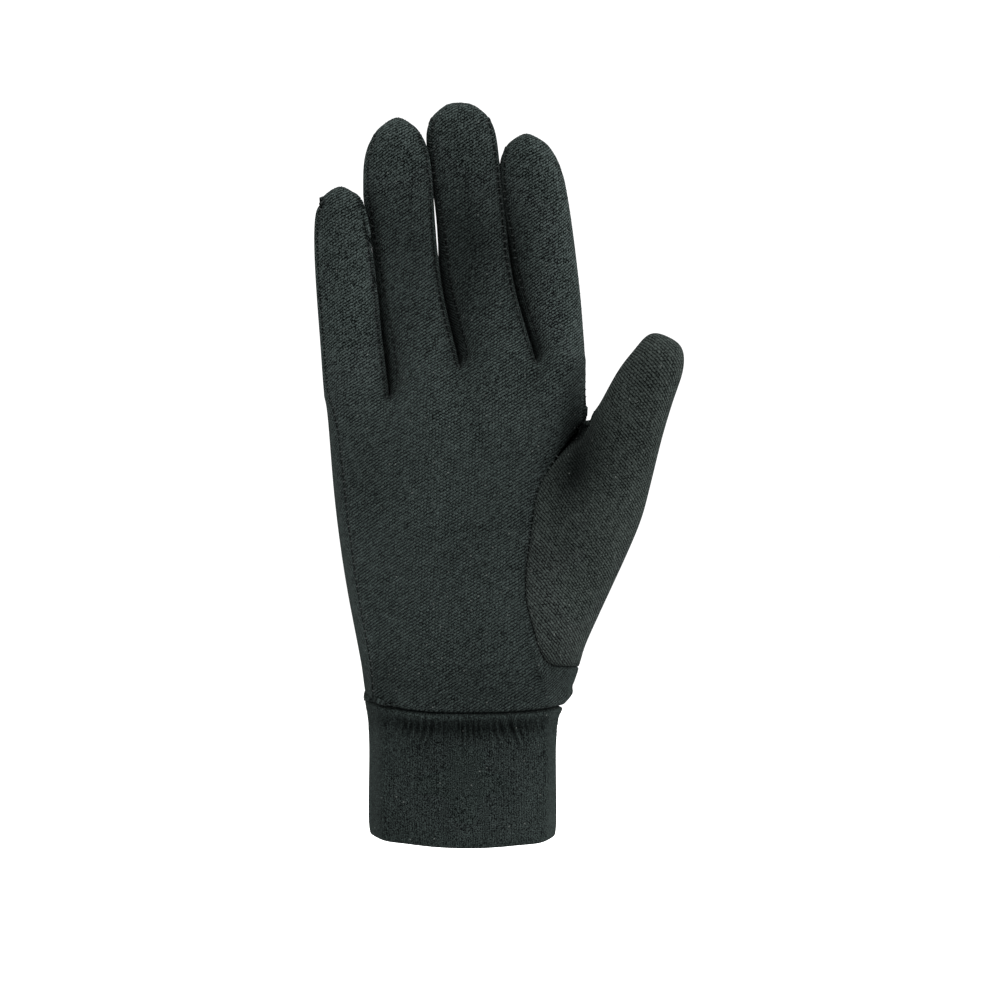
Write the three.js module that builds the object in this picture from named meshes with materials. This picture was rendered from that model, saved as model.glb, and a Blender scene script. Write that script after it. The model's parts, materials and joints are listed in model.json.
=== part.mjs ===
// A thin knitted glove liner for a right hand, in the form that it takes when it is worn.
// It is sewn from a palm panel, a back panel, three fourchettes (the strips between the fingers),
// a set-in thumb and a doubled cuff. The palm faces -Y, the fingers point up along +Z and the thumb
// is on the +X side. The origin is in the middle of the cuff's open end. Sizes are in millimetres.
import * as THREE from "three";

// Cloth and sewing
const FABRIC = 1.2; // the thickness of one layer of the knit
const SEAM_GAP = 0.3; // left open between two panels along a seam
const CUFF_LAYERS = 2; // the cuff is folded double at its hem

// Cuff and wrist
const CUFF_LENGTH = 43; // hem to wrist seam at the front
const WRIST_WIDTH = 62.4;
const HEM_RISE = 3; // the hem's sides stand higher than its middle
const HEM_SHIFT = 0.06; // how far off its middle the hem is lowest, as a share of half the width
const SEAM_RISE = 4.2; // and so does the wrist seam's end on the little finger's side

// Hand
const PALM_LENGTH = 109.2; // wrist seam to the crotch of the middle finger
const PALM_DEPTH = 31; // front to back through the middle of the hand
const KNUCKLE_DEPTH = 25; // front to back at the roots of the fingers
const HAND_SHIFT = -2.45; // the hand's middle, from the wrist's
const CROTCH_DIP = 4.4; // how deep the front sinks between two roots
const SIDE_ROUNDING = 0.095; // how far in a rounded side's edges lie, as a share of a finger's width

// Fingers
const FINGER_WIDTH = 24.3; // the middle finger's
const FINGER_DEPTH = 18.4;
const FINGER_LENGTH = 83.3;
const FINGER_OFFSET = 1.4; // how far the index finger stands behind the hand's middle
const TIP_SHIFT = 1.2; // how far the ring finger's tip lies off its middle line, towards the thumb
const FINGER_CLEARANCE = 0.5; // between two fingers that lie side by side
const SLIT = 1.2; // how much further the ring and the middle finger part halfway up
const FINGER_REACH = 85; // the stretch over which the lines between fingers are given
const FINGER_LEAN = 10; // how far the fingers lean towards the little finger's side
const FINGER_CURL = 8.2; // how far a fingertip comes forward

// Thumb
const THUMB_LENGTH = 70.8; // from the middle of its hole to its tip
const THUMB_WIDTH = 22;
const THUMB_DEPTH = 21;
const THUMB_INSET = 18; // how far its seam reaches in from the hand's side
const THUMB_LOW = 14.4; // the lower end of its hole, above the wrist seam
const THUMB_HIGH = 93; // the upper end
const THUMB_LEAN = 22.6; // degrees from the fingers to the line from its hole to its tip
const THUMB_SPREAD = 26; // degrees from the fingers to the way that its last joint points
const THUMB_FORWARD = 15; // how far the thumb's tip stands in front of the hand's middle

// The fingers, from the little finger to the index finger, as shares of those sizes.
const FINGERS = [
  { name: "little", width: 0.856, depth: 0.837, length: 0.809, behind: -1.57, tip: 0.5 },
  { name: "ring", width: 0.922, depth: 0.946, length: 1.01, behind: -0.5, tip: 1 },
  { name: "middle", width: 1, depth: 1, length: 1, behind: 0.36, tip: 0 },
  { name: "index", width: 0.667, depth: 0.989, length: 0.887, behind: 1, tip: 0 },
];

// The lines between the fingers: where the crotch is, as a share of PALM_LENGTH, and how far the line
// leans at each quarter of FINGER_REACH, as a share of FINGER_LEAN. The first and last are the
// outlines of the little and the index finger. The slit is the share of SLIT by which it opens.
const LINES = [
  { crotch: 0.905, quarter: 0.14, half: 0.28, late: 0.3, end: 0.3, slit: 0 },
  { crotch: 0.91, quarter: 0.24, half: 0.45, late: 0.77, end: 0.77, slit: 0 },
  { crotch: 1.0, quarter: 0.48, half: 0.7, late: 0.9, end: 1.24, slit: 1 },
  { crotch: 1.013, quarter: 0.6, half: 0.9, late: 1.15, end: 1.2, slit: 0 },
  { crotch: 0.995, quarter: 0.13, half: 0.38, late: 0.74, end: 1.3, slit: 0 },
];

// A finger's sections from its root to its last ring: up as a share of its length, width between its
// two lines, depth as a share of its own, forward as a share of FINGER_CURL, behind as the share of
// its own, and slit as the share of its line's. Seam is how far in from the little finger's side
// the fourchette's front seam runs.
const FINGER_SECTIONS = [
  { up: 0.08, width: 1.0, depth: 1.32, forward: -0.09, behind: 0.3, slit: 0, seam: 0.13 },
  { up: 0.3, width: 1.0, depth: 1.1, forward: -0.24, behind: 1, slit: 0, seam: 0.11 },
  { up: 0.54, width: 1.0, depth: 1.0, forward: -0.06, behind: 1, slit: 1, seam: 0.055 },
  { up: 0.79, width: 1.0, depth: 0.95, forward: 0.52, behind: 1, slit: 0, seam: 0.03 },
  { up: 0.93, width: 0.82, depth: 0.75, forward: 0.9, behind: 1, slit: 0, seam: 0.04 },
];

// The hand's sections from the wrist seam to the last one under the roots: up as a share of
// PALM_LENGTH, left and right as shares of the way from the wrist's edge to the knuckles', and the
// depths to the front (at the little finger's side, the middle and the thumb's side) and to the back
// as shares of half of PALM_DEPTH. Seam is how far in from the little finger's side the palm panel
// ends, as a share of the width, edge how far in from the thumb's side the last column of faces is,
// as a share of THUMB_INSET, and valley the share of CROTCH_DIP that is left between two fingers'
// columns.
const HAND_SECTIONS = [
  {
    up: 0.0, left: 0.0, right: 0.12,
    little: 1.22, middle: 1.24, thumb: 1.22, back: 1.2,
    seam: 0.05, edge: 0.16, valley: 0,
  },
  {
    up: 0.053, left: 0.07, right: 0.44,
    little: 1.3, middle: 1.3, thumb: 1.32, back: 1.2,
    seam: 0.052, edge: 0.36, valley: 0,
  },
  {
    up: 0.145, left: 0.16, right: 0.6,
    little: 1.32, middle: 1.28, thumb: 1.4, back: 1.16,
    seam: 0.055, edge: 0.57, valley: 0,
  },
  {
    up: 0.302, left: 0.44, right: 0.78,
    little: 1.28, middle: 1.16, thumb: 1.4, back: 1.1,
    seam: 0.058, edge: 0.97, valley: 0,
  },
  {
    up: 0.477, left: 0.68, right: 0.9,
    little: 1.16, middle: 1.0, thumb: 1.28, back: 1.06,
    seam: 0.058, edge: 0.97, valley: 0,
  },
  {
    up: 0.646, left: 0.85, right: 1.0,
    little: 1.0, middle: 0.92, thumb: 1.08, back: 1.02,
    seam: 0.055, edge: 0.86, valley: 0,
  },
  {
    up: 0.803, left: 0.94, right: 1.08,
    little: 0.88, middle: 0.86, thumb: 0.9, back: 0.92,
    seam: 0.045, edge: 0.57, valley: 0.03,
  },
];

// The heights of the thumb's seam from its lower to its upper end, as shares of the hole's height,
// on the hand's sections from the first one that it crosses.
const THUMB_SEAM = [0.005, 0.26, 0.505, 0.721, 0.846];
const FIRST_THUMB_SECTION = 2; // the hand section that the hole's lower end is on

// The thumb's sections from its root to its last ring. Along is the share of THUMB_LENGTH, out the share
// of THUMB_WIDTH that its middle stands out by, turn the share of its turn towards THUMB_SPREAD,
// width and depth are shares of the thumb's, forward is a share of THUMB_FORWARD and trail says how
// far its front and back lag behind its sides, as a share of THUMB_INSET.
const THUMB_SECTIONS = [
  { along: 0.275, out: 0.055, turn: 0.22, width: 2.06, depth: 1.5, forward: 0.46, trail: 0.36 },
  { along: 0.431, out: 0.01, turn: 0.52, width: 1.45, depth: 1.26, forward: 0.7, trail: 0.14 },
  { along: 0.584, out: -0.03, turn: 0.87, width: 1.05, depth: 1.06, forward: 0.86, trail: 0.03 },
  { along: 0.762, out: -0.035, turn: 1.0, width: 0.9, depth: 0.94, forward: 0.95, trail: 0 },
  { along: 0.883, out: 0.0, turn: 1.0, width: 0.76, depth: 0.78, forward: 1.0, trail: 0 },
];

// Three points over the thumb's tip, as shares of THUMB_WIDTH.
const THUMB_RIDGE = [
  { side: -0.25, down: 0.06 },
  { side: 0, down: 0 },
  { side: 0.25, down: 0.06 },
];

// The cuff's outer side from the seam down to the hem: down as a share of CUFF_LENGTH and size as a
// share of the wrist's.
const CUFF_SECTIONS = [
  { down: 0.0, size: 1.0 },
  { down: 0.05, size: 0.99 },
  { down: 0.14, size: 0.967 },
  { down: 0.34, size: 0.95 },
  { down: 0.64, size: 0.953 },
  { down: 0.89, size: 0.958 },
  { down: 0.96, size: 0.947 },
];

const WRIST_SEAM = CUFF_LENGTH;
const ROUND = 2.8; // the power of the hand section's rounding: 2 is an ellipse, more is squarer
const FRONT_COLUMNS = 3; // columns of faces across the front of one finger
const LAST = FINGERS.length * FRONT_COLUMNS;
const TIP_BEND = 8; // a high power, so that only the tip leaves the middle line

const lerp = THREE.MathUtils.lerp;
const radians = THREE.MathUtils.degToRad;

const fingers = FINGERS.map(({ name, width, depth, length, behind, tip }) => ({
  name,
  width: width * FINGER_WIDTH,
  depth: depth * FINGER_DEPTH,
  length: length * FINGER_LENGTH,
  behind: behind * FINGER_OFFSET,
  tip: tip * TIP_SHIFT,
}));

// Where the lines between the fingers start, from the little finger's outline to the index finger's.
const handWidth = fingers.reduce((sum, finger) => sum + finger.width, 0);
const roots = [HAND_SHIFT - handWidth / 2];
for (const finger of fingers) roots.push(roots.at(-1) + finger.width);

const crotchHeight = (line) => WRIST_SEAM + LINES[line].crotch * PALM_LENGTH;

// The x of a line between fingers at a height.
function lineAt(line, z) {
  const { quarter, half, late, end } = LINES[line];
  const leans = [0, quarter, half, late, end].map((lean, i) => new THREE.Vector2(i, lean));
  const share = THREE.MathUtils.clamp((z - crotchHeight(line)) / FINGER_REACH, 0, 1);
  return roots[line] - FINGER_LEAN * new THREE.SplineCurve(leans).getPoint(share).y;
}

// The cage: its points are the places that the finished surface passes through, and each of its
// four-sided faces belongs to the panel that it names.
const cage = { points: [], faces: [] };
const point = (x, y, z) => cage.points.push(new THREE.Vector3(x, y, z)) - 1;

// Joins two rings of the cage. The panel of the face after each point comes from panelOf, or none.
function joinRings(lower, upper, panelOf) {
  lower.forEach((a, i) => {
    const next = (i + 1) % lower.length;
    const panel = panelOf(i);
    if (panel) cage.faces.push({ loop: [a, lower[next], upper[next], upper[i]], panel });
  });
}

// A point on one of the hand's sections. Across runs from 0 at the little finger's side to 1.
function handPoint(section, left, right, across, side, x, z) {
  const row = HAND_SECTIONS[section];
  const from = (x - (left + right) / 2) / ((right - left) / 2);
  const edge = Math.pow(Math.max(0, 1 - Math.pow(Math.abs(from), ROUND)), 1 / ROUND);
  const littleHalf = lerp(row.little, row.middle, 2 * across);
  const thumbHalf = lerp(row.middle, row.thumb, 2 * across - 1);
  const front = across < 0.5 ? littleHalf : thumbHalf;
  const depth = ((side < 0 ? front : row.back) * PALM_DEPTH) / 2;
  return point(x, side * depth * edge, z);
}

// A finger's ten points at a section: x runs across from 0 to 1, y is a share of half its depth.
// Towards a neighbour the two sides are slanted, so that each finger reaches a little behind the one
// before it.
function fingerColumns(finger, seam) {
  const first = finger === 0;
  const last = finger === FINGERS.length - 1;
  const column = (x, y) => ({ x, y });
  return [
    first ? column(0, 0) : column(-0.035, 0.2),
    first ? column(SIDE_ROUNDING / 2, -0.42) : column(seam, -0.56),
    column(0.35, -0.97),
    column(0.7, -0.97),
    last ? column(1 - SIDE_ROUNDING, -0.6) : column(0.96, -0.68),
    last ? column(1, 0) : column(1, -0.25),
    last ? column(1 - SIDE_ROUNDING, 0.59) : column(0.87, 0.62),
    column(0.67, 0.96),
    column(0.33, 0.96),
    first ? column(SIDE_ROUNDING, 0.59) : column(0.04, 0.66),
  ];
}

// The hand's top ring, where the fingers start: the roots' crowns and the crotches between them.
function knuckleRing() {
  const thickest = Math.max(...fingers.map(({ depth }) => depth));
  const front = [];
  const back = [];
  for (let column = 0; column <= LAST; column++) {
    const finger = Math.min(Math.floor(column / FRONT_COLUMNS), FINGERS.length - 1);
    const within = (column - finger * FRONT_COLUMNS) / FRONT_COLUMNS;
    const atSide = column === 0 || column === LAST;
    const atCrotch = !atSide && column % FRONT_COLUMNS === 0;
    const inset = column === 0 ? SIDE_ROUNDING : column === LAST ? -SIDE_ROUNDING : 0;
    const x = lerp(roots[finger], roots[finger + 1], within) + inset * fingers[finger].width;
    const z = lerp(crotchHeight(finger), crotchHeight(finger + 1), within);
    const half = (KNUCKLE_DEPTH / 2) * (fingers[finger].depth / thickest);
    const sunk = atSide ? 0.4 * half : atCrotch ? CROTCH_DIP : 0;
    front.push(point(x, sunk - half, z));
    back.push(point(x, half - sunk, atCrotch ? z - 0.3 * CROTCH_DIP : z));
  }
  return {
    front,
    back,
    left: point(roots[0], 0, crotchHeight(0)),
    right: point(roots.at(-1), 0, crotchHeight(FINGERS.length)),
  };
}

// How much higher the wrist seam is than at its middle. Side runs from -1 at the little finger's side to 1.
const seamRise = (side) => SEAM_RISE * Math.abs(side) ** 3 * (side < 0 ? 1 : 0.4);

// The rings of the hand from the wrist seam to the knuckles, each with its front and back points
// and its two side points. Inside the thumb's hole there is no right side point.
function handRings() {
  const knuckles = knuckleRing();
  const xOf = (index) => cage.points[index].x;
  const shares = knuckles.front.map((index) => (xOf(index) - roots[0]) / handWidth);
  const hole = (up) => WRIST_SEAM + lerp(THUMB_LOW, THUMB_HIGH, up);
  const rings = HAND_SECTIONS.map((row, section) => {
    const left = lerp(-WRIST_WIDTH / 2, roots[0], row.left);
    const right = lerp(WRIST_WIDTH / 2, roots.at(-1), row.right);
    const seam = THUMB_SEAM[section - FIRST_THUMB_SECTION];
    const end = right - row.edge * THUMB_INSET;
    const z = WRIST_SEAM + row.up * PALM_LENGTH;
    const ring = { front: [], back: [] };
    for (const side of [-1, 1]) {
      shares.forEach((share, column) => {
        const across = (share - shares[0]) / (shares[LAST] - shares[0]);
        const x = lerp(lerp(left, right, side < 0 ? row.seam : shares[0]), end, across);
        const height = seam ? lerp(z, hole(seam), across * across) : z;
        const index = handPoint(section, left, right, share, side, x, height);
        const dip = column % FRONT_COLUMNS === 0 && column !== 0 && column !== LAST;
        if (dip) cage.points[index].y -= side * row.valley * CROTCH_DIP;
        if (section === 0) cage.points[index].z += seamRise(2 * share - 1);
        ring[side < 0 ? "front" : "back"].push(index);
      });
    }
    ring.left = point(left, 0, section === 0 ? z + seamRise(-1) : z);
    const lowEnd = section === FIRST_THUMB_SECTION;
    const highEnd = section === FIRST_THUMB_SECTION + THUMB_SEAM.length - 1;
    if (!seam || lowEnd || highEnd) {
      const height = section === 0 ? z + seamRise(1) : z;
      ring.right = point(right, 0, lowEnd ? hole(0) : highEnd ? hole(1) : height);
    }
    return ring;
  });
  return [...rings, knuckles];
}

const ringLoop = (ring) => [ring.left, ...ring.front, ring.right, ...ring.back.toReversed()];

// The palm and back panels below the fingers, with the thumb's hole left open.
function buildHand(rings) {
  const rightSide = LAST + 1;
  for (let section = 0; section + 1 < rings.length; section++) {
    const inHole =
      section >= FIRST_THUMB_SECTION && section < FIRST_THUMB_SECTION + THUMB_SEAM.length - 1;
    joinRings(ringLoop(rings[section]), ringLoop(rings[section + 1]), (i) => {
      if (inHole && (i === rightSide || i === rightSide + 1)) return null;
      return i > 0 && i <= rightSide ? "palm" : "back";
    });
  }
}

// Closes a tube with a row of points over its tip. Half the ring's points lie on each side of it.
function closeTip(ring, ridge, panelOf) {
  const half = ring.length / 2;
  const line = [ring[0], ...ridge, ring[half]];
  for (let i = 0; i + 1 < line.length; i++) {
    const front = [ring[i + 1], ring[i + 2], line[i + 1], line[i]];
    const back = [ring[ring.length - 2 - i], ring[ring.length - 1 - i], line[i], line[i + 1]];
    cage.faces.push({ loop: front, panel: panelOf(-1) });
    cage.faces.push({ loop: back, panel: panelOf(1) });
  }
}

// One finger, with the fourchettes along the sides that it turns to its neighbours.
function buildFinger(finger, root, leftName, rightName) {
  const { depth, length, behind, tip } = fingers[finger];
  const rootHeight = (crotchHeight(finger) + crotchHeight(finger + 1)) / 2;
  const top = rootHeight + length;
  const first = finger === 0;
  const last = finger === FINGERS.length - 1;
  const place = ({ up, width: share, slit }, across, y) => {
    const z = lerp(lerp(crotchHeight(finger), crotchHeight(finger + 1), across), top, up);
    const parting = (line) => (FINGER_CLEARANCE + LINES[line].slit * slit * SLIT) / 2;
    const left = lineAt(finger, z) + (first ? 0 : parting(finger));
    const right = lineAt(finger + 1, z) - (last ? 0 : parting(finger + 1));
    const middle = (left + right) / 2 + tip * up ** TIP_BEND;
    return point(middle + (across - 0.5) * share * (right - left), y, z);
  };
  const rings = [root];
  for (const row of FINGER_SECTIONS) {
    const half = (row.depth * depth) / 2;
    const centre = row.behind * behind - row.forward * FINGER_CURL;
    rings.push(fingerColumns(finger, row.seam).map(({ x, y }) => place(row, x, centre + y * half)));
  }
  const panels = [leftName[0], "palm", "palm", "palm", ...rightName, "back", "back", "back", leftName[1]];
  for (let i = 0; i + 1 < rings.length; i++) {
    joinRings(rings[i], rings[i + 1], (column) => panels[column]);
  }
  const crown = { up: 1, width: 0.82, slit: 0 };
  const ridge = [0.35, 0.66].map((across) => place(crown, across, behind - FINGER_CURL));
  closeTip(rings.at(-1), ridge, (side) => (side < 0 ? "palm" : "back"));
}

// The four fingers on the hand's top ring. Neighbours share the middle point of their crotch.
function buildFingers(knuckles) {
  const dip = 0.2 * CROTCH_DIP;
  const middles = fingers.slice(1).map((_, i) => point(roots[i + 1], 0, crotchHeight(i + 1) + dip));
  middles.unshift(knuckles.left);
  middles.push(knuckles.right);
  fingers.forEach((_, finger) => {
    const from = finger * FRONT_COLUMNS;
    const to = from + FRONT_COLUMNS;
    const root = [
      middles[finger],
      ...knuckles.front.slice(from, to + 1),
      middles[finger + 1],
      ...knuckles.back.slice(from, to + 1).reverse(),
    ];
    const strip = (line) => {
      if (line === 0) return ["back", "back"];
      if (line === FINGERS.length) return ["palm", "back"];
      const name = `fourchette_${fingers[line - 1].name}_${fingers[line].name}`;
      return [name, name];
    };
    buildFinger(finger, root, strip(finger), strip(finger + 1));
  });
}

// The thumb: its first ring is the edge of its hole, and the later ones turn to face along it.
function buildThumb(rings) {
  const seamRings = rings.slice(FIRST_THUMB_SECTION, FIRST_THUMB_SECTION + THUMB_SEAM.length);
  const low = seamRings[0].right;
  const high = seamRings.at(-1).right;
  const root = [
    high,
    ...seamRings.map((ring) => ring.front[LAST]).reverse(),
    low,
    ...seamRings.map((ring) => ring.back[LAST]),
  ];
  const start = cage.points[low].clone().add(cage.points[high]).multiplyScalar(0.5);
  const count = root.length;
  const lean = radians(THUMB_LEAN);
  const middle = (along, out) =>
    new THREE.Vector2(
      start.x + Math.sin(lean) * along * THUMB_LENGTH + Math.cos(lean) * out * THUMB_WIDTH,
      start.z + Math.cos(lean) * along * THUMB_LENGTH - Math.sin(lean) * out * THUMB_WIDTH,
    );
  const all = [root];
  for (const row of THUMB_SECTIONS) {
    const turn = radians(90 - row.turn * (90 - THUMB_SPREAD));
    const centre = middle(row.along, row.out);
    const across = new THREE.Vector2(Math.cos(turn), -Math.sin(turn));
    const ahead = new THREE.Vector2(Math.sin(turn), Math.cos(turn));
    const ring = root.map((_, i) => {
      const angle = (2 * Math.PI * i) / count;
      const side = -Math.cos(angle) * row.width * (THUMB_WIDTH / 2);
      const lag = -Math.abs(Math.sin(angle)) * row.trail * THUMB_INSET;
      const depth = -Math.sin(angle) * row.depth * (THUMB_DEPTH / 2);
      return point(
        centre.x + across.x * side + ahead.x * lag,
        depth - row.forward * THUMB_FORWARD,
        centre.y + across.y * side + ahead.y * lag,
      );
    });
    all.push(ring);
  }
  for (let i = 0; i + 1 < all.length; i++) joinRings(all[i], all[i + 1], () => "thumb");
  const end = middle(1, 0);
  const spread = radians(THUMB_SPREAD);
  const ridge = THUMB_RIDGE.map(({ side, down }) =>
    point(
      end.x + (Math.cos(spread) * side - Math.sin(spread) * down) * THUMB_WIDTH,
      -THUMB_FORWARD,
      end.y - (Math.sin(spread) * side + Math.cos(spread) * down) * THUMB_WIDTH,
    ),
  );
  closeTip(all.at(-1), ridge, () => "thumb");
}

// One step of Catmull-Clark subdivision. The points of the mesh keep their numbers, and an open edge
// stays a smooth curve of its own.
function subdivide({ points, faces }) {
  const facePoints = faces.map(({ loop }) => {
    const sum = new THREE.Vector3();
    loop.forEach((i) => sum.add(points[i]));
    return sum.divideScalar(loop.length);
  });
  const edges = new Map();
  faces.forEach(({ loop }, face) =>
    loop.forEach((a, i) => {
      const b = loop[(i + 1) % loop.length];
      const key = a < b ? `${a}_${b}` : `${b}_${a}`;
      if (!edges.has(key)) edges.set(key, { a, b, faces: [] });
      edges.get(key).faces.push(face);
    }),
  );
  const next = points.map(() => new THREE.Vector3());
  const around = points.map(() => ({
    faces: new THREE.Vector3(),
    mids: new THREE.Vector3(),
    rim: new THREE.Vector3(),
    n: 0,
    open: 0,
  }));
  faces.forEach(({ loop }, face) =>
    loop.forEach((i) => {
      around[i].faces.add(facePoints[face]);
      around[i].n += 1;
    }),
  );
  for (const edge of edges.values()) {
    const middle = points[edge.a].clone().add(points[edge.b]).multiplyScalar(0.5);
    const closed = edge.faces.length === 2;
    const place = middle.clone();
    if (closed) {
      const [one, other] = edge.faces;
      place.multiplyScalar(2).add(facePoints[one]).add(facePoints[other]).divideScalar(4);
    }
    edge.index = next.push(place) - 1;
    for (const i of [edge.a, edge.b]) {
      around[i].mids.add(middle);
      if (!closed) {
        around[i].rim.add(middle);
        around[i].open += 1;
      }
    }
  }
  points.forEach((p, i) => {
    const { faces: centres, mids, rim, n, open } = around[i];
    if (open) {
      next[i].copy(p).multiplyScalar(2).add(rim).divideScalar(4);
      return;
    }
    next[i].copy(p).multiplyScalar(n - 3);
    next[i].addScaledVector(centres, 1 / n).addScaledVector(mids, 2 / n).divideScalar(n);
  });
  const finer = [];
  faces.forEach(({ loop, panel }, face) => {
    const centre = next.push(facePoints[face]) - 1;
    const edgeOf = (a, b) => edges.get(a < b ? `${a}_${b}` : `${b}_${a}`).index;
    loop.forEach((corner, i) => {
      const before = loop.at(i - 1);
      const after = loop[(i + 1) % loop.length];
      finer.push({ loop: [corner, edgeOf(corner, after), centre, edgeOf(before, corner)], panel });
    });
  });
  return { points: next, faces: finer };
}

// Moves the cage out until its subdivision passes through the places that the tables give.
function smoothSkin() {
  const wanted = cage.points.map((p) => p.clone());
  const passes = 6;
  for (let pass = 0; pass < passes; pass++) {
    const made = subdivide(cage);
    cage.points.forEach((p, i) => p.add(wanted[i]).sub(made.points[i]));
  }
  return subdivide(cage);
}

const faceNormal = (points, [a, b, c, d]) =>
  new THREE.Vector3().crossVectors(points[c].clone().sub(points[a]), points[d].clone().sub(points[b]));

// The direction that the skin faces at each of its points.
function skinNormals({ points, faces }) {
  const normals = points.map(() => new THREE.Vector3());
  for (const { loop } of faces) {
    const normal = faceNormal(points, loop);
    loop.forEach((i) => normals[i].add(normal));
  }
  return normals.map((n) => n.normalize());
}

// One panel of the skin as a closed solid: its faces, the same faces one layer of fabric further in,
// and a rim along its seams, which are held half a seam gap apart from the neighbour's.
function panelGeometry(skin, normals, panel) {
  const faces = skin.faces.filter((face) => face.panel === panel);
  const rims = new Map();
  for (const { loop } of faces) {
    loop.forEach((a, i) => {
      const b = loop[(i + 1) % loop.length];
      if (!rims.delete(`${b}_${a}`)) rims.set(`${a}_${b}`, [a, b]);
    });
  }
  const inwards = new Map();
  for (const [a, b] of rims.values()) {
    const along = skin.points[b].clone().sub(skin.points[a]);
    for (const i of [a, b]) {
      const way = new THREE.Vector3().crossVectors(normals[i], along).normalize();
      inwards.set(i, [...(inwards.get(i) ?? []), way]);
    }
  }
  const positions = [];
  const slots = new Map();
  for (const i of new Set(faces.flatMap(({ loop }) => loop))) {
    const outer = skin.points[i].clone();
    const ways = inwards.get(i);
    if (ways) {
      const way = ways.reduce((sum, each) => sum.add(each), new THREE.Vector3());
      outer.addScaledVector(way, Math.min(2 / way.lengthSq(), 1.2) * (SEAM_GAP / 2));
    }
    const inner = outer.clone().addScaledVector(normals[i], -FABRIC);
    slots.set(i, positions.length / 3);
    positions.push(...outer.toArray(), ...inner.toArray());
  }
  const outerOf = (i) => slots.get(i);
  const innerOf = (i) => slots.get(i) + 1;
  const triangles = [];
  const quad = (a, b, c, d) => triangles.push(a, b, c, a, c, d);
  for (const { loop } of faces) {
    quad(...loop.map(outerOf));
    quad(...loop.map(innerOf).reverse());
  }
  for (const [a, b] of rims.values()) {
    // The neighbour's rim is folded along the same diagonal.
    if (a < b) quad(outerOf(b), outerOf(a), innerOf(a), innerOf(b));
    else quad(outerOf(a), innerOf(a), innerOf(b), outerOf(b));
  }
  return solid(positions, triangles);
}

function solid(positions, triangles) {
  const geometry = new THREE.BufferGeometry();
  geometry.setAttribute("position", new THREE.Float32BufferAttribute(positions, 3));
  geometry.setIndex(triangles);
  geometry.computeVertexNormals();
  return geometry;
}

// The skin's open edge at the wrist, in order.
function wristLoop({ points, faces }) {
  const sides = faces.flatMap(({ loop }) => loop.map((a, i) => [a, loop[(i + 1) % loop.length]]));
  const known = new Set(sides.map(([a, b]) => `${a}_${b}`));
  const following = new Map(sides.filter(([a, b]) => !known.has(`${b}_${a}`)));
  const first = following.keys().next().value;
  const order = [first];
  while (following.get(order.at(-1)) !== first) order.push(following.get(order.at(-1)));
  return order.map((i) => points[i].clone());
}

// The doubled cuff: one closed band that runs down its outside, round the fold of the hem and up
// its inside.
function cuffGeometry(wrist) {
  const wall = FABRIC * CUFF_LAYERS;
  const count = wrist.length;
  const outwards = wrist.map((_, i) => {
    const along = wrist[(i + 1) % count].clone().sub(wrist.at(i - 1));
    return new THREE.Vector3(along.y, -along.x, 0).normalize();
  });
  const reach = (share) => (1 - share) * CUFF_LENGTH;
  const rows = CUFF_SECTIONS.map(({ down, size }) => ({ height: reach(down), size, inset: 0 }));
  const { size: hem } = CUFF_SECTIONS.at(-1);
  const foldSteps = 3;
  for (let step = 1; step <= foldSteps; step++) {
    const angle = (Math.PI * step) / (foldSteps + 1);
    rows.push({
      height: (wall / 2) * (1 - Math.sin(angle)),
      size: hem,
      inset: (wall / 2) * (1 - Math.cos(angle)),
    });
  }
  const inside = rows.slice(0, CUFF_SECTIONS.length).reverse();
  rows.push(...inside.map(({ height, size }) => ({ height, size, inset: wall })));
  const positions = [];
  for (const { height, size, inset } of rows) {
    const share = height / CUFF_LENGTH;
    wrist.forEach((p, i) => {
      const hemRise = HEM_RISE * ((2 * p.x) / WRIST_WIDTH - HEM_SHIFT) ** 2;
      const place = p.clone().multiplyScalar(size).addScaledVector(outwards[i], -inset);
      const rise = lerp(hemRise, p.z - WRIST_SEAM, share);
      positions.push(place.x, place.y, height - share * SEAM_GAP + rise);
    });
  }
  const triangles = [];
  rows.forEach((_, row) => {
    const top = row * count;
    const below = ((row + 1) % rows.length) * count;
    for (let i = 0; i < count; i++) {
      const next = (i + 1) % count;
      triangles.push(top + i, below + i, below + next, top + i, below + next, top + next);
    }
  });
  return solid(positions, triangles);
}

const knit = new THREE.MeshStandardMaterial({ color: 0x2a302f, roughness: 0.9, metalness: 0 });
const cuffKnit = new THREE.MeshStandardMaterial({ color: 0x282d2c, roughness: 0.92, metalness: 0 });

const rings = handRings();
buildHand(rings);
buildFingers(rings.at(-1));
buildThumb(rings);
const skin = smoothSkin();
const normals = skinNormals(skin);

const glove = new THREE.Group();
glove.name = "glove_liner";
for (const panel of new Set(skin.faces.map((face) => face.panel))) {
  const mesh = new THREE.Mesh(panelGeometry(skin, normals, panel), knit);
  mesh.name = panel;
  glove.add(mesh);
}
const cuff = new THREE.Mesh(cuffGeometry(wristLoop(skin)), cuffKnit);
cuff.name = "cuff";
glove.add(cuff);

export default glove;
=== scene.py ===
# %% [markdown]
# # A knitted glove liner
#
# This notebook dresses a finished CAD model in cloth. The model gives every panel its true place
# and size. Here each panel becomes a thin sheet of knit with turned-in edges, the seams are sewn
# stitch by stitch, the cuff is gathered, and the yarn gets its colour and its fine ribs.
#
# The CAD model is loaded first and never changed. Each panel below starts as a copy of its part.

# %% Load the frame
import json
import math

import bpy
import numpy as np
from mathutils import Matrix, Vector, kdtree

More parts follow.
